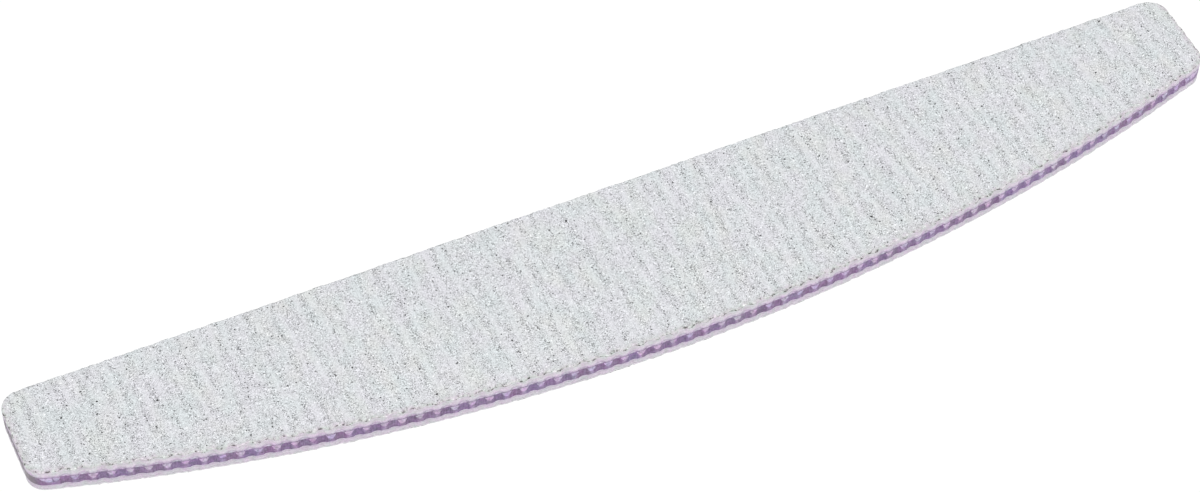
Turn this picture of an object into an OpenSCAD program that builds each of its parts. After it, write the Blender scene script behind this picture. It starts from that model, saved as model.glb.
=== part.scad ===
// Half-moon emery board: a sandwich of a hard plastic core, two foam pads and two abrasive papers,
// glued in one block and cut out with a toothed die. It lies flat on its lower grit coat.
// X runs along the board, Y points to the straight long edge, Z points up through the layers.
// The origin is the middle of the board's box, on the surface that it rests on.

/* [Board outline] */
// Length of the board between its two square ends
board_l = 178; // [120:1:240]
// Width of the board between the straight edge and the lowest point of the arc
board_w = 27.2; // [22:0.2:40]
// Length of each end between the straight edge and the arc, before the corners are rounded
end_w = 13.6; // [11:0.1:18]
// Radius of the two corners on the straight edge
straight_corner_r = 3; // [1:0.1:4.5]
// Radius of the two corners on the arc
arc_corner_r = 2.8; // [1:0.1:4.5]

/* [Laminate layers] */
// Thickness of the plastic core board
core_t = 1.65; // [1.3:0.05:3]
// Thickness of each foam pad
foam_t = 0.74; // [0.4:0.02:2]
// Thickness of each adhesive film
film_t = 0.05; // [0.03:0.01:0.12]
// Thickness of each backing paper
paper_t = 0.2; // [0.12:0.01:0.4]
// Thickness of each grit coat, with its resin
grit_t = 0.135; // [0.08:0.005:0.4]

/* [Die teeth] */
// Distance between neighbouring teeth along the cut edge
tooth_pitch = 2.415; // [2.2:0.005:4]
// Radius of a tooth on the arc, where it enters the upper face
tooth_r = 1.6; // [1.2:0.05:2]
// Depth of a flute at the upper face, along the arc
flute_top = 0.3; // [0.14:0.01:0.34]
// Depth of a flute at the lower face, along the arc
flute_bottom = 0.07; // [0.04:0.01:0.13]
// Depth of a flute at the upper face, on the two ends
end_flute_top = 0.1; // [0.08:0.01:0.3]
// Depth of a flute at the lower face, on the two ends
end_flute_bottom = 0.05; // [0.03:0.01:0.07]

/* [Core pockets] */
// Width of a half-moon pocket along the edge line, at its flat top
pocket_w = 1.4; // [0.8:0.05:1.6]
// Depth of a pocket at its flat top
pocket_d = 0.3; // [0.25:0.01:0.6]
// Height of a pocket from its flat top to where its sloping floor runs out of the wall
pocket_h = 1.05; // [0.6:0.01:1.05]
// Core left over a pocket, as a thin rim under the upper foam
pocket_rim = 0.16; // [0.08:0.01:0.2]

/* [Hidden] */

// Sides of the true circles: the long arc, and everything small
arc_fn = 720;
round_fn = 48;

// The arc through both sharp lower corners and the lowest point
half_l = board_l / 2;
half_w = board_w / 2;
arc_rise = board_w - end_w;
arc_r = (half_l * half_l + arc_rise * arc_rise) / (2 * arc_rise);
arc_y = arc_r - half_w;

// Centre of the rounded corner that touches both the end and the arc, and the arc's angle there
corner_x = half_l - arc_corner_r;
corner_y = arc_y - sqrt(pow(arc_r - arc_corner_r, 2) - corner_x * corner_x);
corner_angle = asin(corner_x / (arc_r - arc_corner_r));

// Heights of the layers: each upper layer starts on the one before it, each lower one mirrors it
cover_t = 2 * film_t + foam_t + paper_t + grit_t;
board_t = core_t + 2 * cover_t;
core_z = cover_t;
core_top = core_z + core_t;

// Stations along the arc and along the straight stretch of an end, as whole numbers of pitches
pitch_angle = tooth_pitch / arc_r * 180 / PI;
arc_pitches = floor(corner_angle / pitch_angle);
end_top = half_w - straight_corner_r;
end_mid = (end_top + corner_y) / 2;
end_pitches = floor((end_top - corner_y) / tooth_pitch);

// A tooth's axis stands outside the edge line by this much, on the arc and on the ends alike
tooth_gap = tooth_r - flute_top;
// A pocket is the lower part of a leaning cylinder, whose floor runs out of the wall at its foot
pocket_lean = atan(pocket_d / pocket_h);
pocket_r = (pocket_w * pocket_w / 4 + pocket_d * pocket_d) / (2 * pocket_d);
pocket_gap = pocket_r / cos(pocket_lean) - pocket_d;
// Length that a cutter runs on past what it cuts
spare = 1;
pocket_reach = pocket_h + pocket_r + spare;

// Outline of the board, with its arc and its four corners as true circles
module board_outline() {
    difference() {
        intersection() {
            translate([0, arc_y])
                circle(r = arc_r, $fn = arc_fn);
            translate([-half_l, -half_w])
                square([board_l, board_w]);
        }
        for (side = [0, 1])
            mirror([side, 0]) {
                straight_corner_offcut();
                arc_corner_offcut();
            }
    }
}

// What is cut away outside the rounded corner on the straight edge
module straight_corner_offcut() {
    translate([half_l - straight_corner_r, half_w - straight_corner_r])
        difference() {
            square(straight_corner_r + spare);
            circle(r = straight_corner_r, $fn = round_fn);
        }
}

// What is cut away outside the rounded corner on the arc, between the two radii that end it
module arc_corner_offcut() {
    reach = 2 * arc_corner_r;
    translate([corner_x, corner_y])
        difference() {
            polygon([[0, 0], [reach * sin(corner_angle), -reach * cos(corner_angle)],
                     [reach, -reach], [reach, 0]]);
            circle(r = arc_corner_r, $fn = round_fn);
        }
}

// Puts a cutter at each station of the arc, with its own Y pointing into the board.
// shift is 0 on the crests and a half in the flutes between them.
module at_arc_stations(shift) {
    for (k = [-arc_pitches : arc_pitches - 2 * shift])
        translate([0, arc_y])
            rotate((k + shift) * pitch_angle)
                translate([0, -arc_r])
                    children();
}

// The same for the straight stretch of each end
module at_end_stations(shift) {
    for (side = [-1, 1], k = [0 : end_pitches - 1 + 2 * shift])
        translate([side * half_l, end_mid + (k - shift - (end_pitches - 1) / 2) * tooth_pitch])
            rotate(side * 90)
                children();
}

// Section of one tooth where its flute has the given depth
module tooth(flute_depth) {
    translate([0, -tooth_gap])
        circle(r = tooth_gap + flute_depth, $fn = round_fn);
}

// The teeth at a share of the board's height: they taper towards the lower face
module die_teeth(share) {
    at_arc_stations(0.5)
        tooth(flute_bottom + (flute_top - flute_bottom) * share);
    at_end_stations(0.5)
        tooth(end_flute_bottom + (end_flute_top - end_flute_bottom) * share);
}

// Half-moon pocket that the die tears out of the hard core, on the crest between two flutes
module pocket() {
    translate([0, 0, core_top - pocket_rim])
        intersection() {
            translate([0, -pocket_gap, 0])
                rotate([-pocket_lean, 0, 0])
                    cylinder(r = pocket_r, h = 2 * pocket_reach, center = true, $fn = round_fn);
            translate(-pocket_reach * [1, 1, 1])
                cube(pocket_reach * [2, 2, 1]);
        }
}

// One cut layer of the sandwich, from its lower face up
module layer(z, thickness) {
    translate([0, 0, z])
        linear_extrude(thickness)
            difference() {
                board_outline();
                die_teeth((z + thickness / 2) / board_t);
            }
}

module core_board() {
    color("mediumpurple")
        difference() {
            layer(core_z, core_t);
            at_arc_stations(0)
                pocket();
            at_end_stations(0)
                pocket();
        }
}

module upper_core_adhesive() {
    color("ghostwhite")
        layer(core_top, film_t);
}

module lower_core_adhesive() {
    color("ghostwhite")
        layer(core_z - film_t, film_t);
}

module upper_foam_pad() {
    color("lavender")
        layer(core_top + film_t, foam_t);
}

module lower_foam_pad() {
    color("lavender")
        layer(core_z - film_t - foam_t, foam_t);
}

module upper_paper_adhesive() {
    color("ghostwhite")
        layer(board_t - grit_t - paper_t - film_t, film_t);
}

module lower_paper_adhesive() {
    color("ghostwhite")
        layer(grit_t + paper_t, film_t);
}

module upper_backing_paper() {
    color("linen")
        layer(board_t - grit_t - paper_t, paper_t);
}

module lower_backing_paper() {
    color("linen")
        layer(grit_t, paper_t);
}

module upper_grit_coat() {
    color("gainsboro")
        layer(board_t - grit_t, grit_t);
}

module lower_grit_coat() {
    color("gainsboro")
        layer(0, grit_t);
}

core_board();
upper_core_adhesive();
lower_core_adhesive();
upper_foam_pad();
lower_foam_pad();
upper_paper_adhesive();
lower_paper_adhesive();
upper_backing_paper();
lower_backing_paper();
upper_grit_coat();
lower_grit_coat();
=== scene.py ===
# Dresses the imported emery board: two grit faces with their grains, cut foam pads, backing papers,
# adhesive films and the toothed purple core.
# Lengths are in millimetres until a mesh is made, in the row frame: X along the board, Y to its
# straight edge, Z up through the layers.
import math

import bpy
import numpy as np
from mathutils import Matrix, Vector
from mathutils.geometry import delaunay_2d_cdt
from mathutils.kdtree import KDTree


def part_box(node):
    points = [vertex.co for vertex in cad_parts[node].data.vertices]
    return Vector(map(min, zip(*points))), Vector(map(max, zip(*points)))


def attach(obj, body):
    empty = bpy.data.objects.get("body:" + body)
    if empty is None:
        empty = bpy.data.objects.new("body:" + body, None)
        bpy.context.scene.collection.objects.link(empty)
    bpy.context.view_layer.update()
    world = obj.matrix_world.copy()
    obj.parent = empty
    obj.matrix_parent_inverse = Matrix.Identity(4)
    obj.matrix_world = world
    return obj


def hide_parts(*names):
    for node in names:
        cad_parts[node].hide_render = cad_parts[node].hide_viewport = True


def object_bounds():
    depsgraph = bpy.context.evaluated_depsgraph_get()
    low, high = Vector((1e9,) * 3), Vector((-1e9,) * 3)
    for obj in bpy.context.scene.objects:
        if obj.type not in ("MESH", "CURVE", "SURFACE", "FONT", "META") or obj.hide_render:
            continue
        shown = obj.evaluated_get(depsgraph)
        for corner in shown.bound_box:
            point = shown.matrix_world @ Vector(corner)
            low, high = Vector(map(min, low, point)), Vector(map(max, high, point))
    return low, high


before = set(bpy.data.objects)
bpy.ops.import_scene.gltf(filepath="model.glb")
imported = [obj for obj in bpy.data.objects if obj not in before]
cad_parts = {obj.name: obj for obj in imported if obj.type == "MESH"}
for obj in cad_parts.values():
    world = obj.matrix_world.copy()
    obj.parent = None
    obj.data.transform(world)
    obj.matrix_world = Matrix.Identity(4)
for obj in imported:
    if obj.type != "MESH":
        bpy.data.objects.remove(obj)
CAD_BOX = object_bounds()

MM = 0.001

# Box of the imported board, and its outline, die teeth and pockets as in the part's source
BOARD_L, BOARD_W, BOARD_T = (round((high - low) / MM, 3) for low, high in zip(*CAD_BOX))
END_W = 13.6
STRAIGHT_CORNER_R = 3.0
ARC_CORNER_R = 2.8
TOOTH_PITCH = 2.415
TOOTH_R = 1.6
FLUTE_TOP = 0.3
FLUTE_BOTTOM = 0.07
END_FLUTE_TOP = 0.1
END_FLUTE_BOTTOM = 0.05
POCKET_W = 1.4
POCKET_D = 0.3
POCKET_H = 1.05
POCKET_RIM = 0.16

# What follows from those sizes
HALF_L = BOARD_L / 2
HALF_W = BOARD_W / 2
ARC_RISE = BOARD_W - END_W
ARC_R = (HALF_L**2 + ARC_RISE**2) / (2 * ARC_RISE)
ARC_Y = ARC_R - HALF_W
CORNER_X = HALF_L - ARC_CORNER_R
CORNER_Y = ARC_Y - math.sqrt((ARC_R - ARC_CORNER_R) ** 2 - CORNER_X**2)
CORNER_ANGLE = math.asin(CORNER_X / (ARC_R - ARC_CORNER_R))
PITCH_ANGLE = TOOTH_PITCH / ARC_R
ARC_PITCHES = math.floor(CORNER_ANGLE / PITCH_ANGLE)
END_TOP = HALF_W - STRAIGHT_CORNER_R
END_MID = (END_TOP + CORNER_Y) / 2
END_PITCHES = math.floor((END_TOP - CORNER_Y) / TOOTH_PITCH)
TOOTH_GAP = TOOTH_R - FLUTE_TOP
POCKET_R = (POCKET_W**2 / 4 + POCKET_D**2) / (2 * POCKET_D)
QUARTER = math.pi / 2

# Resin ridges across the board, as sets that cross: spacing, lean and strength of each
RIDGES = ((2.7, 0.12, 0.2), (2.1, -0.14, 0.19), (1.6, 0.03, 0.23))
# How a ridge bends, in long and in short waves: reach, and size of the waves across and along it
RIDGE_BENDS = ((0.6, 2.8, 7.0), (0.14, 1.1, 2.6))
# Size of the patches where a set of ridges is stronger or fainter, and of the clumps between them
RIDGE_PATCH = (2.6, 6.0)
CLUMP = (0.42, 2.4)
# Mean strength of a set, how far the patches sway it, and strength of the clumps
RIDGE_MEAN = 0.66
RIDGE_SWAY = 0.34
CLUMP_SHARE = 0.17

# Skin of the grit: spacing of its mesh points over the face and along the edge, how far a point of
# the face strays as a share of that spacing, and its least distance from the edge
GRIT_STEP = 0.222
RIM_STEP = 0.16
GRIT_STRAY = 0.3
RIM_CLEAR = 0.09
# Deepest bite out of the grit's edge, on the straight side and on the die-cut sides
RAGGED_STRAIGHT = 0.42
RAGGED_CUT = 0.18
# Mean bite as a share of the deepest, and the waves that vary it along the edge: which of the
# seed's random tables each one takes, its length and its strength
RAGGED_MEAN = 0.22
RAGGED_WAVES = ((2, 13, 0.22), (3, 4, 0.11), (0, 1.3, 0.32), (1, 0.28, 0.3))
# Y of the edge's normal, in a corner, from which it starts to count as the straight side
STRAIGHT_FROM = 0.75
# Share of a bite that is left at the foot of the coat, and how far in the skin starts
FOOT_BITE = 0.4
SKIN_INSET = 0.01
# Heights as shares of the coat: bare resin, what a ridge adds, what a fine grain adds, and how much
# of that grain drowns on a ridge
RESIN_RISE = 0.36
RIDGE_RISE = 0.2
FINE_RISE = 0.42
FINE_DROWNED = 0.12
# Spread of the fine grains' heights, as the two shape numbers of a beta law
FINE_SPREAD = (1.6, 1.6)
# How much lower the broken edge is, and how far in that and the worn colour, with its painted glints,
# reach
RIM_DROP = 0.12
RIM_DROP_REACH = 0.08
RIM_WEAR_REACH = 0.14
# Lowest and highest point of the skin, as shares of the coat
SKIN_RISE_LIMITS = (0.3, 0.97)
# Streak value of the coat's wall, from 0 between the ridges to 1 on them
WALL_STREAK = 0.3

# Grains that stand in each face: their count, and their middle, least and largest half width
GRAIN_COUNT = 20000
GRAIN_SIZE = 0.085
GRAIN_SIZE_LIMITS = (0.04, 0.17)
# Spread of the sizes, as the sigma of a log-normal law, and the least distance between a grain's
# middle and the edge, in grain sizes
GRAIN_SPREAD = 0.35
GRAIN_CLEAR = 1.5
# Share of the grains that drown on top of a ridge
GRAINS_DROWNED = 0.85
# Middle, half height and limits of a grain's corners, as shares of the coat
GRAIN_MIDDLE = 0.66
GRAIN_HALF = 0.3
GRAIN_RISE_LIMITS = (0.3, 0.985)
# What makes a grain uneven: the least and largest reach of its corners, and how far they stray
GRAIN_REACH = (0.55, 1.25)
GRAIN_STRAY = 0.16
# A grain before it is made uneven: four corners around, one above, one below, and its faces
GRAIN_CORNERS = ((1, 0, 0), (0, 1, 0), (-1, 0, 0), (0, -1, 0), (0, 0, 1), (0, 0, -1))
GRAIN_FACES = ((0, 1, 4), (1, 2, 4), (2, 3, 4), (3, 0, 4), (1, 0, 5), (2, 1, 5), (3, 2, 5), (0, 3, 5))

# Cut walls: spacing of the points along them, their rows of points, how rough they are, and the
# share of the grit's bites along the straight edge that reach down into them
PAPER_WALL = {"step": RIM_STEP, "levels": 4, "roughness": 0.035, "torn": 0.85}
FOAM_WALL = {"step": 0.13, "levels": 8, "roughness": 0.05, "torn": 0.0}
# As shares of that roughness: how far in the outer rows lie, and how hollow the wall is between
# them. The inner rows stray by a beta law with these two shape numbers.
WALL_RIM = 0.15
WALL_HOLLOW = 0.9
WALL_SPREAD = (1.2, 2.5)

# Painted cells: fine specks and larger dots in the grit, and the foam's cut cells
SPECK_CELL = 0.096
DOT_CELL = 0.4
FOAM_CELL = 0.14
# Foam colours beside the core, between and beside the paper, and the share of painted shade, a
# grey painted where the flute shades the foam, in a flute as deep as the deepest
FOAM_COLOURS = {
    "upper": ((205, 190, 213), (224, 215, 227), (228, 225, 229), 0.28),
    "lower": ((207, 194, 215), (214, 205, 218), (214, 208, 217), 0.65),
}

# How far the noise moves the foam's colours through its height, as a share of that height
FOAM_SWAY = 0.5
# Pale tear in a pocket: how far it sways, how much smaller it may be, what is added to a crest's
# number for that draw, and how far short of the straight edge the tears stop
TEAR_SWAY = 0.16
TEAR_VARIES = 0.05
TEAR_DRAW = 0.5
TEAR_STOP = 0.8
# How far the lower edge of the pale smear on top of the blocks sways
SMEAR_SWAY = 0.3

# Side of the random tables behind the smooth noise
TABLE = 512
# For the triangulation: keep only what is inside the ring, and join points this close
INSIDE_ONLY = 1
WELD = 1e-7

# Camera: where it stands, its turn about the upright, its height angle, its roll and its lens
CAMERA_AT = (-128.36, -254.84, 359.18)
CAMERA_AZIMUTH = -25.41
CAMERA_ELEVATION = 51.07
CAMERA_ROLL = 0.99
CAMERA_LENS = 99.63
SENSOR_WIDTH = 36
# Light, in metres and watts: strength of the white surroundings, and the soft box's place, side
# and power. The floor reaches this far each way.
ROOM_LIGHT = 0.7
BOX_AT = (0.0, -0.35, 1.2)
BOX_SIDE = 0.8
BOX_POWER = 9.0
FLOOR_REACH = 3.0


def smooth_noise(x, y, cell_x, cell_y, seed):
    """Smooth random field from -1 to 1, with bumps about as large as a cell."""
    table = np.random.default_rng(seed).uniform(-1, 1, (TABLE, TABLE))
    u, v = x / cell_x, y / cell_y
    i, j = np.floor(u).astype(int), np.floor(v).astype(int)
    u, v = u - i, v - j
    u, v = u * u * (3 - 2 * u), v * v * (3 - 2 * v)
    i, j = i % TABLE, j % TABLE
    next_i, next_j = (i + 1) % TABLE, (j + 1) % TABLE
    near = table[i, j] * (1 - u) + table[next_i, j] * u
    far = table[i, next_j] * (1 - u) + table[next_i, next_j] * u
    return near * (1 - v) + far * v


def line_noise(run, cell, seed):
    """Smooth random numbers from -1 to 1 along a line, with bumps about as long as a cell."""
    return smooth_noise(run, np.zeros(len(run)), cell, 1, seed)


def streaks(points, seed):
    """Ridges of resin across the board, which cross and branch: 0 between them, 1 on them."""
    x, y = points[:, 0], points[:, 1]
    ridges = 0
    for number, (spacing, lean, share) in enumerate(RIDGES, 1):
        own = seed + 10 * number
        bend = sum(reach * smooth_noise(x, y, across, along, own + wave)
                   for wave, (reach, across, along) in enumerate(RIDGE_BENDS))
        strength = share * (RIDGE_MEAN + RIDGE_SWAY * smooth_noise(x, y, *RIDGE_PATCH, own + 2))
        ridges = ridges + strength * np.cos(2 * math.pi * (x + lean * y + bend) / spacing)
    clumps = smooth_noise(x, y, *CLUMP, seed + 40)
    return np.clip(0.5 + ridges + CLUMP_SHARE * clumps, 0, 1)


def arc_piece(centre, radius, start, end, step):
    """Points and outward normals along an arc, counter-clockwise, without its last point."""
    count = max(2, round((end - start) * radius / step))
    angle = np.linspace(start, end, count, endpoint=False)
    normal = np.stack([np.cos(angle), np.sin(angle)], axis=1)
    return np.array(centre) + radius * normal, normal


def line_piece(start, end, normal, step):
    """Points and outward normals along a straight edge, without its last point."""
    count = max(2, round(math.dist(start, end) / step))
    share = np.linspace(0, 1, count, endpoint=False)[:, None]
    points = (1 - share) * np.array(start) + share * np.array(end)
    return points, np.tile(np.array(normal, float), (count, 1))


def plain_outline(step):
    """The board's edge line before the die teeth bite into it, counter-clockwise."""
    inner_x = HALF_L - STRAIGHT_CORNER_R
    pieces = [
        arc_piece((0, ARC_Y), ARC_R, -QUARTER - CORNER_ANGLE, -QUARTER + CORNER_ANGLE, step),
        arc_piece((CORNER_X, CORNER_Y), ARC_CORNER_R, -QUARTER + CORNER_ANGLE, 0, step),
        line_piece((HALF_L, CORNER_Y), (HALF_L, END_TOP), (1, 0), step),
        arc_piece((inner_x, END_TOP), STRAIGHT_CORNER_R, 0, QUARTER, step),
        line_piece((inner_x, HALF_W), (-inner_x, HALF_W), (0, 1), step),
        arc_piece((-inner_x, END_TOP), STRAIGHT_CORNER_R, QUARTER, 2 * QUARTER, step),
        line_piece((-HALF_L, END_TOP), (-HALF_L, CORNER_Y), (-1, 0), step),
        arc_piece((-CORNER_X, CORNER_Y), ARC_CORNER_R, 2 * QUARTER, 3 * QUARTER - CORNER_ANGLE, step),
    ]
    return np.concatenate([p for p, n in pieces]), np.concatenate([n for p, n in pieces])


def arc_teeth():
    """Axes of the die teeth along the arc."""
    angle = (np.arange(-ARC_PITCHES, ARC_PITCHES) + 0.5) * PITCH_ANGLE
    out = ARC_R + TOOTH_GAP
    return np.stack([out * np.sin(angle), ARC_Y - out * np.cos(angle)], axis=1)


def end_teeth():
    """Axes of the die teeth along the two ends."""
    height = END_MID + (np.arange(END_PITCHES + 1) - END_PITCHES / 2) * TOOTH_PITCH
    out = np.full(len(height), HALF_L + TOOTH_GAP)
    return np.concatenate([np.stack([side * out, height], axis=1) for side in (-1, 1)])


def tooth_bite(points, normals, z):
    """How far the teeth push each outline point inwards at a height: they taper downwards."""
    bite = np.zeros(len(points))
    sets = ((arc_teeth(), FLUTE_TOP, FLUTE_BOTTOM), (end_teeth(), END_FLUTE_TOP, END_FLUTE_BOTTOM))
    for centres, top, bottom in sets:
        radius = TOOTH_GAP + bottom + (top - bottom) * z / BOARD_T
        for centre in centres:
            away = points - centre
            out = (away * normals).sum(axis=1)
            inside = radius**2 - (away**2).sum(axis=1)
            reach = out + np.sqrt(np.maximum(inside, 0) + out**2)
            bite = np.where(inside > 0, np.maximum(bite, reach), bite)
    return bite


def on_straight_edge(normals):
    """1 on the straight long edge, fading to 0 in its two corners, and 0 elsewhere."""
    return np.clip((normals[:, 1] - STRAIGHT_FROM) / (1 - STRAIGHT_FROM), 0, 1)


def run_length(points):
    """Distance along the outline from its first point, for each point."""
    step = np.linalg.norm(points - np.roll(points, 1, axis=0), axis=1)
    step[0] = 0
    return np.cumsum(step)


def ragged_bite(points, normals, seed):
    """Small irregular bites where grains, resin and paper broke away along the cut."""
    run = run_length(points)
    share = RAGGED_MEAN
    for own, length, strength in RAGGED_WAVES:
        share = share + strength * line_noise(run, length, seed + own)
    deepest = RAGGED_CUT + (RAGGED_STRAIGHT - RAGGED_CUT) * on_straight_edge(normals)
    return np.clip(share, 0, 1) * deepest


def fill_outline(points, count):
    """Triangles that fill the closed ring of the first count points, through all the others."""
    edges = [(i, (i + 1) % count) for i in range(count)]
    vectors = [Vector(p) for p in points.tolist()]
    _, _, faces, origins, _, _ = delaunay_2d_cdt(vectors, edges, [], INSIDE_ONLY, WELD)
    source = np.array([ids[0] for ids in origins])
    return source[np.array([list(face) for face in faces if len(face) == 3])]


def band(lower_start, upper_start, count):
    """Triangles of the closed band between two rings of the same count of points."""
    i = np.arange(count)
    j = (i + 1) % count
    first = np.stack([lower_start + i, lower_start + j, upper_start + j], axis=1)
    second = np.stack([lower_start + i, upper_start + j, upper_start + i], axis=1)
    return np.concatenate([first, second])


def turned(triangles, up):
    """The triangles, turned over for a piece that is built downwards."""
    return triangles if up > 0 else triangles[:, ::-1]


def mesh_object(name, points, triangles, material, attributes):
    """A mesh piece from points in millimetres, with one number per point for each attribute."""
    mesh = bpy.data.meshes.new(name)
    mesh.vertices.add(len(points))
    mesh.vertices.foreach_set("co", (points * MM).astype(np.float32).ravel())
    mesh.loops.add(3 * len(triangles))
    mesh.loops.foreach_set("vertex_index", triangles.astype(np.int32).ravel())
    mesh.polygons.add(len(triangles))
    mesh.polygons.foreach_set("loop_start", np.arange(0, 3 * len(triangles), 3, dtype=np.int32))
    mesh.update(calc_edges=True)
    for key, values in attributes.items():
        stored = mesh.attributes.new(key, "FLOAT", "POINT")
        stored.data.foreach_set("value", values.astype(np.float32))
    mesh.materials.append(material)
    piece = bpy.data.objects.new(name, mesh)
    bpy.context.scene.collection.objects.link(piece)
    return piece


def dress(piece, slot, *nodes):
    """The piece rides on the board and stands for the CAD nodes, which are hidden; the slot is not used.
    """
    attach(piece, "root")
    if nodes:
        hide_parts(*nodes)
    return piece


def heights(node):
    """Lowest and highest Z of a CAD node, in millimetres."""
    low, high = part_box(node)
    return low.z / MM, high.z / MM


class Rim:
    """Finds how far inside an outline a point lies."""

    def __init__(self, ring, normals):
        self.ring, self.normals = ring, normals
        self.tree = KDTree(len(ring))
        for i, p in enumerate(ring):
            self.tree.insert((p[0], p[1], 0), i)
        self.tree.balance()

    def inside(self, points):
        """Distance inwards from the outline, negative outside it."""
        near = np.array([self.tree.find((p[0], p[1], 0))[1] for p in points])
        return ((self.ring[near] - points) * self.normals[near]).sum(axis=1)


def lattice(step, rng):
    """Points in even rows over the board's box, each moved a little at random."""
    rows = np.arange(-HALF_W, HALF_W, step * math.sqrt(3) / 2)
    x, row = np.meshgrid(np.arange(-HALF_L, HALF_L, step), np.arange(len(rows)))
    points = np.stack([x + (row % 2) * step / 2, rows[row]], axis=2).reshape(-1, 2)
    return points + rng.uniform(-GRIT_STRAY, GRIT_STRAY, points.shape) * step


def coat_heights(node, up):
    """Where a grit coat sits on its paper, its thickness, and the height of its middle."""
    low, high = heights(node)
    return low if up > 0 else high, high - low, (low + high) / 2


def grit_ring(middle, seed):
    """Edge of a grit coat: its points, their normals and the bites out of it."""
    points, normals = plain_outline(RIM_STEP)
    bite = tooth_bite(points, normals, middle)
    ragged = ragged_bite(points, normals, seed)
    return points - normals * bite[:, None], normals, ragged[:, None]


def skin_points(ring, normals, rng):
    """Points of the resin's skin, the ring first, and how far inside the ring each lies."""
    inner = lattice(GRIT_STEP, rng)
    deep = Rim(ring, normals).inside(inner)
    clear = deep > RIM_CLEAR
    return np.concatenate([ring, inner[clear]]), np.concatenate([np.zeros(len(ring)), deep[clear]])


def skin_rise(streak, inward, rng):
    """Height of the skin as a share of the coat: grains, ridges, and a lower broken edge."""
    grain = rng.beta(*FINE_SPREAD, len(streak))
    rise = RESIN_RISE + RIDGE_RISE * streak + grain * (FINE_RISE - FINE_DROWNED * streak)
    return np.clip(rise - RIM_DROP * np.exp(-inward / RIM_DROP_REACH), *SKIN_RISE_LIMITS)


def grit_sheet(name, node, up, seed, material):
    """Resin coat with its bed of grains: a rough skin over the whole face and a broken edge."""
    rng = np.random.default_rng(seed)
    base, thick, middle = coat_heights(node, up)
    ring, normals, ragged = grit_ring(middle, seed)
    count = len(ring)
    face, inward = skin_points(ring - normals * (ragged + SKIN_INSET), normals, rng)
    streak = streaks(face, seed)
    foot = ring - normals * (FOOT_BITE * ragged)
    points = np.concatenate([
        np.column_stack([face, base + up * thick * skin_rise(streak, inward, rng)]),
        np.column_stack([foot, np.full(count, base)]),
    ])
    side = band(len(face), 0, count)
    under = fill_outline(foot, count)[:, ::-1] + len(face)
    triangles = np.concatenate([fill_outline(face, count), side, under])
    return mesh_object(name, points, turned(triangles, up), material, {
        "streak": np.concatenate([streak, np.full(count, WALL_STREAK)]),
        "edge": np.concatenate([np.exp(-inward / RIM_WEAR_REACH), np.ones(count)]),
    })


def grain_spots(rim, seed, rng):
    """Places and sizes of the grains inside the rim, fewer where the resin pools."""
    spots = rng.uniform((-HALF_L, -HALF_W), (HALF_L, HALF_W), (3 * GRAIN_COUNT, 2))
    spots = spots[rng.random(len(spots)) > GRAINS_DROWNED * streaks(spots, seed)]
    deep = rim.inside(spots)
    size = rng.lognormal(math.log(GRAIN_SIZE), GRAIN_SPREAD, len(spots))
    size = np.clip(size, *GRAIN_SIZE_LIMITS)
    clear = deep > GRAIN_CLEAR * size
    return spots[clear][:GRAIN_COUNT], size[clear][:GRAIN_COUNT]


def grain_shapes(count, rng):
    """X, Y and Z of each grain's corners in grain sizes: uneven and turned at random."""
    corners = np.array(GRAIN_CORNERS, float)
    reach = rng.uniform(*GRAIN_REACH, (count, len(corners), 1))
    shape = corners[None] * reach + rng.normal(0, GRAIN_STRAY, (count, len(corners), 3))
    turn = rng.uniform(0, 2 * math.pi, count)[:, None]
    x = shape[..., 0] * np.cos(turn) - shape[..., 1] * np.sin(turn)
    y = shape[..., 0] * np.sin(turn) + shape[..., 1] * np.cos(turn)
    return x, y, shape[..., 2]


def grit_grains(name, node, up, seed, material):
    """Angular grains that stand in the resin, most pale, some dark."""
    rng = np.random.default_rng(seed)
    base, thick, middle = coat_heights(node, up)
    ring, normals, ragged = grit_ring(middle, seed)
    spots, size = grain_spots(Rim(ring - normals * ragged, normals), seed, rng)
    count = len(spots)
    tint = rng.random(count)
    x, y, z = grain_shapes(count, rng)
    rise = np.clip(GRAIN_MIDDLE + z * GRAIN_HALF, *GRAIN_RISE_LIMITS)
    points = np.stack([
        spots[:, :1] + x * size[:, None],
        spots[:, 1:] + y * size[:, None],
        base + up * thick * rise,
    ], axis=2).reshape(-1, 3)
    corners = len(GRAIN_CORNERS)
    triangles = (np.array(GRAIN_FACES)[None] + corners * np.arange(count)[:, None, None]).reshape(-1, 3)
    return mesh_object(name, points, turned(triangles, up), material, {"tint": np.repeat(tint, corners)})


def cut_layer(name, node, seed, material, step, levels, roughness, torn):
    """A cut sheet or pad: its wall in rows of points that follow the teeth, each a little rough."""
    rng = np.random.default_rng(seed)
    low, high = heights(node)
    points, normals = plain_outline(step)
    count = len(points)
    bitten = torn * on_straight_edge(normals) * ragged_bite(points, normals, seed)
    rows, wave = [], []
    for level in range(levels):
        share = level / (levels - 1)
        z = low + (high - low) * share
        bite = tooth_bite(points, normals, z)
        inner_row = 0 < level < levels - 1
        rough = roughness * (rng.beta(*WALL_SPREAD, count) if inner_row else np.full(count, WALL_RIM))
        hollow = roughness * WALL_HOLLOW * math.sin(math.pi * share)
        ring = points - normals * (bite + bitten + rough + hollow)[:, None]
        rows.append(np.column_stack([ring, np.full(count, z)]))
        wave.append(bite / FLUTE_TOP)
    bands = [band(level * count, (level + 1) * count, count) for level in range(levels - 1)]
    top = fill_outline(rows[-1][:, :2], count) + (levels - 1) * count
    bottom = fill_outline(rows[0][:, :2], count)[:, ::-1]
    triangles = np.concatenate([*bands, top, bottom])
    return mesh_object(name, np.concatenate(rows), triangles, material, {"wave": np.concatenate(wave)})


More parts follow.
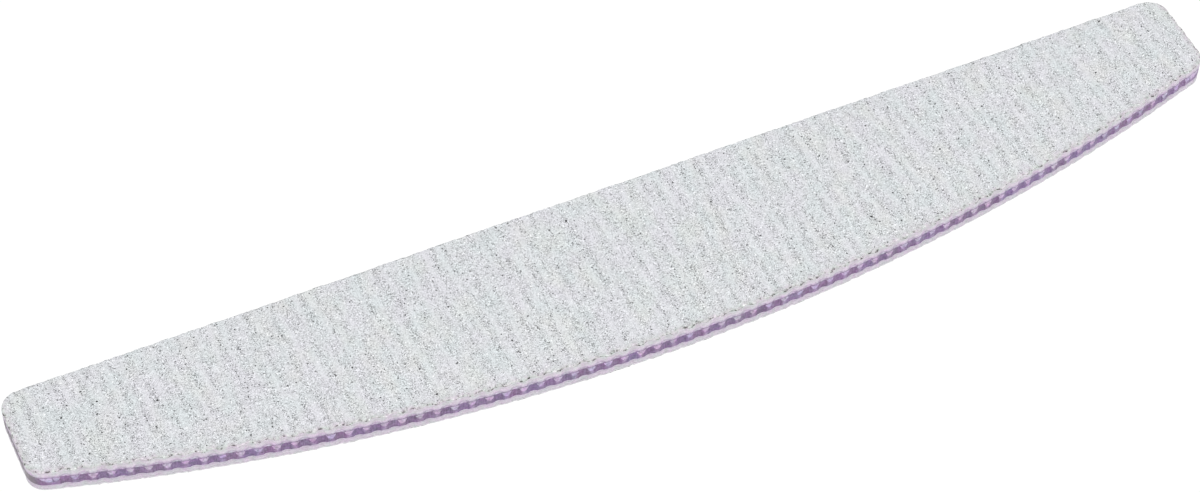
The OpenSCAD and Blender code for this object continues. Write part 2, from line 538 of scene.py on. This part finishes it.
class Paint:
    """A material's node tree, with a short call for each kind of node used here."""

    def __init__(self, name, roughness, specular):
        self.material = bpy.data.materials.new(name)
        self.material.use_nodes = True
        self.tree = self.material.node_tree
        self.shader = next(n for n in self.tree.nodes if n.type == "BSDF_PRINCIPLED")
        self.shader.inputs["Roughness"].default_value = roughness
        self.shader.inputs["Specular IOR Level"].default_value = specular
        scale = self.add("ShaderNodeVectorMath", operation="SCALE")
        scale.inputs["Scale"].default_value = 1 / MM
        self.put(scale.inputs[0], self.add("ShaderNodeTexCoord").outputs["Object"])
        self.place = scale.outputs[0]
        self.parts = None

    def add(self, kind, **settings):
        """A new node with its settings."""
        node = self.tree.nodes.new(kind)
        for key, value in settings.items():
            setattr(node, key, value)
        return node

    def put(self, socket, value):
        """Links a socket, or sets it if the value is a plain number or colour."""
        if isinstance(value, bpy.types.NodeSocket):
            self.tree.links.new(value, socket)
        else:
            socket.default_value = value

    def calc(self, operation, a, b=0.0, c=0.0):
        """Result of a math node."""
        node = self.add("ShaderNodeMath", operation=operation)
        for socket, value in zip(node.inputs, (a, b, c)):
            self.put(socket, value)
        return node.outputs[0]

    def axis(self, name):
        """X, Y or Z of the place in millimetres."""
        if self.parts is None:
            self.parts = self.add("ShaderNodeSeparateXYZ")
            self.put(self.parts.inputs[0], self.place)
        return self.parts.outputs[name]

    def stretched(self, x, y, z):
        """The place with each axis divided by a cell size in millimetres."""
        node = self.add("ShaderNodeVectorMath", operation="MULTIPLY")
        self.put(node.inputs[0], self.place)
        node.inputs[1].default_value = (1 / x, 1 / y, 1 / z)
        return node.outputs[0]

    def noise(self, place, scale, detail, rough):
        """Cloudy noise from 0 to 1."""
        node = self.add("ShaderNodeTexNoise")
        self.put(node.inputs["Vector"], place)
        for key, value in (("Scale", scale), ("Detail", detail), ("Roughness", rough)):
            node.inputs[key].default_value = value
        return node.outputs["Fac"]

    def cells(self, size, output="Color"):
        """Cells of a size in millimetres, each with its own random colour."""
        node = self.add("ShaderNodeTexVoronoi")
        self.put(node.inputs["Vector"], self.place)
        node.inputs["Scale"].default_value = 1 / size
        return node.outputs[output]

    def red(self, colour):
        """One random number out of a random colour."""
        node = self.add("ShaderNodeSeparateColor")
        self.put(node.inputs[0], colour)
        return node.outputs[0]

    def random(self, value):
        """A random number from 0 to 1 for each whole value."""
        node = self.add("ShaderNodeTexWhiteNoise", noise_dimensions="1D")
        self.put(node.inputs["W"], value)
        return node.outputs["Value"]

    def stored(self, name):
        """A number stored on the mesh's points."""
        return self.add("ShaderNodeAttribute", attribute_name=name).outputs["Fac"]

    def ramp(self, value, *stops):
        """Colour or grey by value; each stop is (position, sRGB colour or linear grey)."""
        node = self.add("ShaderNodeValToRGB")
        while len(node.color_ramp.elements) < len(stops):
            node.color_ramp.elements.new(0.5)
        for element, (position, colour) in zip(node.color_ramp.elements, stops):
            element.position = position
            element.color = rgb(*colour) if isinstance(colour, tuple) else (colour, colour, colour, 1)
        self.put(node.inputs[0], value)
        return node.outputs[0]

    def mix(self, share, a, b, blend="MIX"):
        """Mixes a share of b into a. Sockets 6, 7 and 2 are the node's own for colours."""
        node = self.add("ShaderNodeMix", data_type="RGBA", blend_type=blend)
        self.put(node.inputs[0], share)
        self.put(node.inputs[6], rgb(*a) if isinstance(a, tuple) else a)
        self.put(node.inputs[7], rgb(*b) if isinstance(b, tuple) else b)
        return node.outputs[2]

    def swaying(self, noise, reach, middle=0.0):
        """A value that follows the noise over a reach, around the middle given."""
        return self.calc("MULTIPLY_ADD", noise, reach, middle - reach / 2)

    def shaded(self, colour, factor):
        """The colour times a factor or another colour."""
        return self.mix(1.0, colour, factor, "MULTIPLY")

    def drifting(self, colour, size, reach):
        """The colour, drifting from lilac to green and from dull to bright over the size given."""
        tinge = self.noise(self.stretched(size, size, size), 1.0, 2, 0.6)
        shade = self.noise(self.stretched(size * 0.6, size * 0.6, size * 0.4), 1.0, 3, 0.7)
        tints = self.ramp(tinge, (0.34, (255, 240, 255)), (0.5, (251, 251, 251)), (0.66, (241, 255, 246)))
        colour = self.mix(min(reach, 1.0), colour, self.shaded(colour, tints))
        return self.shaded(colour, self.ramp(shade, (0.3, 1 - 0.2 * reach), (0.7, 1 + 0.2 * reach)))

    def bump(self, height, distance, strength):
        """Small relief, up to the distance in millimetres."""
        node = self.add("ShaderNodeBump")
        node.inputs["Distance"].default_value = distance * MM
        node.inputs["Strength"].default_value = strength
        self.put(node.inputs["Height"], height)
        self.put(self.shader.inputs["Normal"], node.outputs[0])

    def finish(self, colour, roughness=None):
        """The material, with its colour and, if one is given, its varying roughness."""
        self.put(self.shader.inputs["Base Color"], colour)
        if roughness is not None:
            self.put(self.shader.inputs["Roughness"], roughness)
        return self.material


def rgb(red, green, blue):
    """Scene colour of an sRGB colour given from 0 to 255."""
    shares = [value / 255 for value in (red, green, blue)]
    linear = [s / 12.92 if s <= 0.04045 else ((s + 0.055) / 1.055) ** 2.4 for s in shares]
    return (*linear, 1)


def resin_colour(paint):
    """Pale blue-grey that drifts a little from lilac to green, with warmer clouds."""
    cool = paint.noise(paint.stretched(3.0, 4.5, 5), 1.0, 1.5, 0.5)
    warm = paint.noise(paint.stretched(3.5, 5.5, 6), 1.0, 1.5, 0.5)
    base = paint.ramp(cool, (0.34, (202, 202, 207)), (0.5, (201, 203, 206)), (0.66, (198, 203, 205)))
    return paint.mix(paint.ramp(warm, (0.5, 0.0), (0.72, 0.4)), base, (202, 203, 198))


def speckled(paint, base, fine, streak):
    """The base with a speck for each fine grain, lighter and plainer on the streaks."""
    speck = paint.ramp(fine, (0.0, 1.7), (0.3, 1.22), (0.6, 1.0), (0.85, 0.6), (0.93, 0.25), (1.0, 0.0))
    share = paint.ramp(streak, (0.25, 1.0), (0.8, 0.35))
    colour = paint.mix(share, base, paint.shaded(base, speck))
    return paint.shaded(colour, paint.ramp(streak, (0.0, 0.89), (1.0, 1.11)))


def dotted(paint, colour, streak):
    """The colour with scattered larger marks: white ones that are painted glints, and black grains mostly
    off the streaks.
    """
    dot = paint.red(paint.cells(DOT_CELL))
    near = paint.ramp(paint.cells(DOT_CELL, "Distance"), (0.2, 1.0), (0.33, 0.0))
    # Painted glints: a few cells painted near white
    white = paint.calc("MULTIPLY", near, paint.ramp(dot, (0.05, 1.0), (0.07, 0.0)))
    black = paint.calc("MULTIPLY", near, paint.ramp(dot, (0.94, 0.0), (0.95, 1.0)))
    black = paint.calc("MULTIPLY", black, paint.ramp(streak, (0.4, 1.0), (0.8, 0.4)))
    return paint.mix(black, paint.mix(white, colour, (246, 247, 248)), (44, 42, 42))


def worn_rim_and_glints(paint, colour):
    """The colour with the broken rim of the die-cut sides: pale grey, with white and black dashes; the
    white dashes are painted glints.
    """
    edge = paint.stored("edge")
    across = paint.calc("DIVIDE", paint.axis("Y"), HALF_W)
    die_cut = paint.ramp(across, (0.86, 1.0), (0.96, 0.0))
    rim = paint.calc("MULTIPLY", paint.calc("POWER", edge, 0.3), die_cut)
    rim_colour = paint.drifting((205, 202, 205), 0.9, 1.0)
    colour = paint.mix(paint.calc("MULTIPLY", rim, 0.8), colour, rim_colour)
    worn_and_glint = paint.calc("MULTIPLY", paint.calc("POWER", edge, 0.6), die_cut)
    # Painted glints at the white end of these dashes; the black end is dark grains
    dashes = paint.ramp(
        paint.noise(paint.place, 2.2, 4, 0.7),
        (0.34, (252, 252, 252)), (0.42, (205, 205, 206)), (0.53, (199, 198, 198)), (0.6, (58, 52, 50)),
    )
    return paint.mix(worn_and_glint, colour, paint.drifting(dashes, 0.9, 0.6))


def grit_paint():
    """Resin with its bed of fine grains: pale blue-grey, speckled, lighter on the streaks."""
    paint = Paint("grit_resin", roughness=0.85, specular=0.25)
    streak = paint.stored("streak")
    fine = paint.red(paint.cells(SPECK_CELL))
    colour = speckled(paint, resin_colour(paint), fine, streak)
    colour = worn_rim_and_glints(paint, dotted(paint, colour, streak))
    paint.bump(fine, 0.02, 0.5)
    return paint.finish(colour, paint.ramp(fine, (0.0, 0.9), (1.0, 0.6)))


def grain_paint():
    """Abrasive grains: most pale and glassy, some grey, few nearly black."""
    paint = Paint("grit_grains", roughness=0.45, specular=0.5)
    colour = paint.ramp(
        paint.stored("tint"),
        (0.0, (232, 234, 236)), (0.6, (214, 216, 219)), (0.86, (190, 192, 194)),
        (0.91, (110, 110, 112)), (0.94, (44, 42, 44)), (1.0, (26, 24, 24)),
    )
    mottle = paint.noise(paint.place, 6.0, 2, 0.6)
    colour = paint.shaded(colour, paint.ramp(mottle, (0.3, 0.9), (0.7, 1.06)))
    paint.bump(mottle, 0.01, 0.5)
    return paint.finish(colour, paint.ramp(mottle, (0.3, 0.3), (0.7, 0.6)))


def foam_paint(side, core_side, outer_side):
    """Closed-cell foam: lilac beside the core, greyer towards the paper, with cut cells and painted shade
    in the flutes.
    """
    paint = Paint(side + "_foam", roughness=0.8, specular=0.2)
    inner, middle, outer, painted_flute_shade = FOAM_COLOURS[side]
    above_core = paint.calc("SUBTRACT", paint.axis("Z"), core_side)
    depth = paint.calc("DIVIDE", above_core, outer_side - core_side)
    uneven = paint.swaying(paint.noise(paint.place, 0.9, 3, 0.6), FOAM_SWAY)
    colour = paint.ramp(paint.calc("ADD", depth, uneven), (0.0, inner), (0.4, middle), (1.0, outer))
    # Painted shade: the foam is painted greyer in the flutes, more so where the teeth bit deeper
    cut = paint.calc("MULTIPLY", paint.stored("wave"), painted_flute_shade)
    colour = paint.drifting(paint.mix(cut, colour, (192, 190, 190)), 0.9, 0.65)
    cell = paint.red(paint.cells(FOAM_CELL))
    colour = paint.shaded(colour, paint.ramp(cell, (0.0, 1.03), (0.7, 0.97), (1.0, 0.86)))
    paint.bump(paint.cells(FOAM_CELL, "Distance"), 0.03, 0.6)
    return paint.finish(colour)


def paper_paint():
    """Backing paper: pale grey, with fibres along the cut and darker squashed spots."""
    paint = Paint("backing_paper", roughness=0.8, specular=0.25)
    fibre = paint.noise(paint.stretched(1.2, 1.2, 0.06), 1.0, 4, 0.7)
    blot = paint.noise(paint.place, 0.8, 4, 0.7)
    colour = paint.ramp(fibre, (0.3, (219, 216, 221)), (0.6, (231, 228, 233)))
    colour = paint.mix(paint.ramp(blot, (0.56, 0.0), (0.78, 0.4)), colour, (176, 173, 168))
    paint.bump(fibre, 0.02, 0.6)
    return paint.finish(paint.drifting(colour, 0.9, 0.7))


def film_paint():
    """Adhesive film: milky, a little glossy, with trapped dust."""
    paint = Paint("adhesive_film", roughness=0.35, specular=0.4)
    haze = paint.noise(paint.place, 2.2, 4, 0.6)
    colour = paint.ramp(haze, (0.3, (204, 194, 210)), (0.7, (222, 216, 226)))
    paint.bump(haze, 0.01, 0.5)
    return paint.finish(colour, paint.ramp(haze, (0.3, 0.25), (0.7, 0.5)))


def tooth_phase(paint):
    """Along the cut edge: distance from the nearest crest in pitches, its number, the block's number."""
    x, y = paint.axis("X"), paint.axis("Y")
    angle = paint.calc("ARCTAN2", x, paint.calc("SUBTRACT", ARC_Y, y))
    on_arc = paint.calc("DIVIDE", angle, PITCH_ANGLE)
    up_end = paint.calc("DIVIDE", paint.calc("SUBTRACT", y, END_MID), TOOTH_PITCH)
    side = paint.calc("MULTIPLY", paint.calc("SIGN", x), 100.0)
    on_end = paint.calc("ADD", paint.calc("ADD", up_end, (END_PITCHES - 1) / 2), side)
    at_end = paint.calc("GREATER_THAN", paint.calc("ABSOLUTE", x), CORNER_X)
    gap = paint.calc("SUBTRACT", on_end, on_arc)
    run = paint.calc("MULTIPLY_ADD", gap, at_end, on_arc)
    crest = paint.calc("ROUND", run)
    return paint.calc("SUBTRACT", run, crest), crest, paint.calc("FLOOR", run)


def pocket_mask(paint, run, crest, fall):
    """1 in the pockets, 0 beside them; run is the distance from the crest, fall that from the top."""
    depth = paint.calc("MULTIPLY_ADD", fall, -POCKET_D / POCKET_H, POCKET_D)
    square = paint.calc("MULTIPLY_ADD", run, run, paint.calc("MULTIPLY", depth, depth))
    sag = paint.calc("DIVIDE", square, 2 * POCKET_R)
    smaller = paint.calc("MULTIPLY", paint.random(paint.calc("ADD", crest, TEAR_DRAW)), TEAR_VARIES)
    inside = paint.calc("SUBTRACT", paint.calc("SUBTRACT", depth, sag), smaller)
    under_top = paint.ramp(fall, (0.0, 0.0), (0.02, 1.0))
    mask = paint.calc("MULTIPLY", paint.ramp(inside, (0.0, 0.0), (0.05, 1.0)), under_top)
    die_cut = paint.calc("LESS_THAN", paint.axis("Y"), HALF_W - TEAR_STOP)
    return paint.calc("MULTIPLY", mask, die_cut)


def block_colour(paint, block, off_crest, fall, wobble, drag):
    """Dark purple that differs from block to block, dragged downwards, smeared pale at its top."""
    dark = paint.ramp(
        paint.random(block),
        (0.0, (111, 85, 121)), (0.3, (119, 97, 142)), (0.6, (125, 93, 131)),
        (0.85, (117, 95, 128)), (1.0, (123, 101, 144)),
    )
    dragged = paint.mix(paint.ramp(drag, (0.42, 0.0), (0.72, 0.68)), dark, (166, 144, 184))
    below_foam = paint.calc("ADD", fall, paint.swaying(wobble, SMEAR_SWAY, POCKET_RIM))
    in_flute = paint.ramp(off_crest, (0.2, 0.0), (0.4, 1.0))
    smear = paint.calc("MULTIPLY", paint.ramp(below_foam, (0.08, 0.9), (0.24, 0.0)), in_flute)
    return paint.mix(smear, dragged, (206, 196, 212))


def torn_colour(paint, crest, wobble):
    """Pale lilac that differs from pocket to pocket, with darker clouds."""
    torn = paint.ramp(
        paint.random(crest),
        (0.0, (208, 180, 208)), (0.35, (206, 188, 214)), (0.6, (190, 176, 214)),
        (0.8, (200, 186, 204)), (1.0, (210, 188, 220)),
    )
    return paint.mix(paint.ramp(wobble, (0.35, 0.0), (0.75, 0.5)), torn, (170, 142, 190))


def core_paint():
    """Cut plastic: dark purple blocks in the flutes, torn pale lilac in the pockets between them, with a
    painted highlight towards the pockets' tops and painted shade on the left end.
    """
    paint = Paint("core_plastic", roughness=0.42, specular=0.4)
    phase, crest, block = tooth_phase(paint)
    off_crest = paint.calc("ABSOLUTE", phase)
    wobble = paint.noise(paint.place, 2.4, 3, 0.6)
    run = paint.calc("MULTIPLY_ADD", phase, TOOTH_PITCH, paint.swaying(wobble, TEAR_SWAY))
    fall = paint.calc("SUBTRACT", heights("core_board")[1] - POCKET_RIM, paint.axis("Z"))
    drag = paint.noise(paint.stretched(0.12, 0.12, 1.4), 1.0, 3, 0.6)
    torn = torn_colour(paint, crest, wobble)
    colour = block_colour(paint, block, off_crest, fall, wobble, drag)
    colour = paint.mix(paint.ramp(off_crest, (0.0, 0.35), (0.12, 0.2), (0.2, 0.0)), colour, torn)
    # Painted highlight: each pocket is painted paler towards its top, where its floor faces up to the
    # light
    bright = paint.mix(paint.ramp(fall, (0.3, 0.4), (0.6, 0.0)), torn, (226, 210, 232))
    colour = paint.mix(pocket_mask(paint, run, crest, fall), colour, bright)
    colour = paint.drifting(colour, 0.8, 2.0)
    # Painted shade: the left end, turned away from the light, is painted dark grey
    leftward = paint.calc("MULTIPLY", paint.axis("X"), -1 / HALF_L)
    painted_shade_left_end = paint.ramp(leftward, (0.985, 0.0), (0.995, 0.85))
    colour = paint.mix(painted_shade_left_end, colour, (120, 113, 118))
    paint.bump(drag, 0.02, 0.6)
    return paint.finish(colour, paint.ramp(drag, (0.3, 0.3), (0.7, 0.55)))


def floor_paint():
    """Plain white paper floor. It glows, so it stays white and hardly takes a shadow."""
    paint = Paint("floor_paper", roughness=0.9, specular=0.0)
    paint.shader.inputs["Emission Color"].default_value = (1, 1, 1, 1)
    paint.shader.inputs["Emission Strength"].default_value = 1.0
    grain = paint.noise(paint.place, 0.02, 3, 0.5)
    return paint.finish(paint.ramp(grain, (0.0, 0.03), (1.0, 0.04)))


def build_side(side, up, seed, grit, grains, paper, film):
    """Dresses the layers on one side of the core; up is 1 over the core and -1 under it."""
    node = side + "_grit_coat"
    dress(grit_sheet(side + "_grit_face", node, up, seed, grit), "grit", node)
    dress(grit_grains(side + "_grains", node, up, seed, grains), "grit")
    node = side + "_backing_paper"
    dress(cut_layer(side + "_paper", node, seed, paper, **PAPER_WALL), "backing_paper", node)
    node = side + "_foam_pad"
    low, high = heights(node)
    foam = foam_paint(side, low, high) if up > 0 else foam_paint(side, high, low)
    pad = dress(cut_layer(side + "_foam", node, seed + 2, foam, **FOAM_WALL), "foam", node)
    for glue in ("_core_adhesive", "_paper_adhesive"):
        repaint(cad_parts[side + glue], film)


def build_board():
    """Makes every dressed piece and gives the carried-over CAD nodes their materials."""
    materials = grit_paint(), grain_paint(), paper_paint(), film_paint()
    build_side("upper", 1, 11, *materials)
    build_side("lower", -1, 47, *materials)
    repaint(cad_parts["core_board"], core_paint())


def repaint(node, material):
    """Gives a carried-over CAD node its material."""
    node.data.materials.clear()
    node.data.materials.append(material)


def make_floor():
    """A wide floor under the board, not part of it."""
    far = FLOOR_REACH
    corners = [(-far, -far, 0), (far, -far, 0), (far, far, 0), (-far, far, 0)]
    mesh = bpy.data.meshes.new("floor")
    mesh.from_pydata(corners, [], [(0, 1, 2, 3)])
    mesh.materials.append(floor_paint())
    floor = bpy.data.objects.new("floor", mesh)
    bpy.context.scene.collection.objects.link(floor)


def soft_light(name, place, size, power):
    """A square soft box that faces the board."""
    lamp = bpy.data.lights.new(name, "AREA")
    lamp.size, lamp.energy = size, power
    light = bpy.data.objects.new(name, lamp)
    light.location = place
    light.rotation_mode = "QUATERNION"
    light.rotation_quaternion = (-Vector(place)).to_track_quat("-Z", "Y")
    bpy.context.scene.collection.objects.link(light)


def light_scene():
    """White surroundings with one large soft box overhead, a little to the front."""
    world = bpy.data.worlds.new("white_room")
    world.use_nodes = True
    background = world.node_tree.nodes["Background"]
    background.inputs["Color"].default_value = (1, 1, 1, 1)
    background.inputs["Strength"].default_value = ROOM_LIGHT
    bpy.context.scene.world = world
    soft_light("key_box", BOX_AT, BOX_SIDE, BOX_POWER)
    bpy.context.scene.view_settings.view_transform = "Standard"


def place_camera():
    """The photo's viewpoint."""
    turn, lift, roll = (math.radians(a) for a in (CAMERA_AZIMUTH, CAMERA_ELEVATION, CAMERA_ROLL))
    back = Vector((math.sin(turn) * math.cos(lift), -math.cos(turn) * math.cos(lift), math.sin(lift)))
    level = Vector((math.cos(turn), math.sin(turn), 0))
    rise = back.cross(level)
    right = math.cos(roll) * level + math.sin(roll) * rise
    up = -math.sin(roll) * level + math.cos(roll) * rise
    data = bpy.data.cameras.new("camera")
    data.sensor_fit, data.sensor_width, data.lens = "HORIZONTAL", SENSOR_WIDTH, CAMERA_LENS
    data.clip_start, data.clip_end = 0.01, 20
    camera = bpy.data.objects.new("camera", data)
    bpy.context.scene.collection.objects.link(camera)
    facing = Matrix((right, up, back)).transposed().to_4x4()
    camera.matrix_world = Matrix.Translation(Vector(CAMERA_AT) * MM) @ facing
    bpy.context.scene.camera = camera


build_board()
make_floor()
light_scene()
place_camera()
bpy.context.view_layer.update()
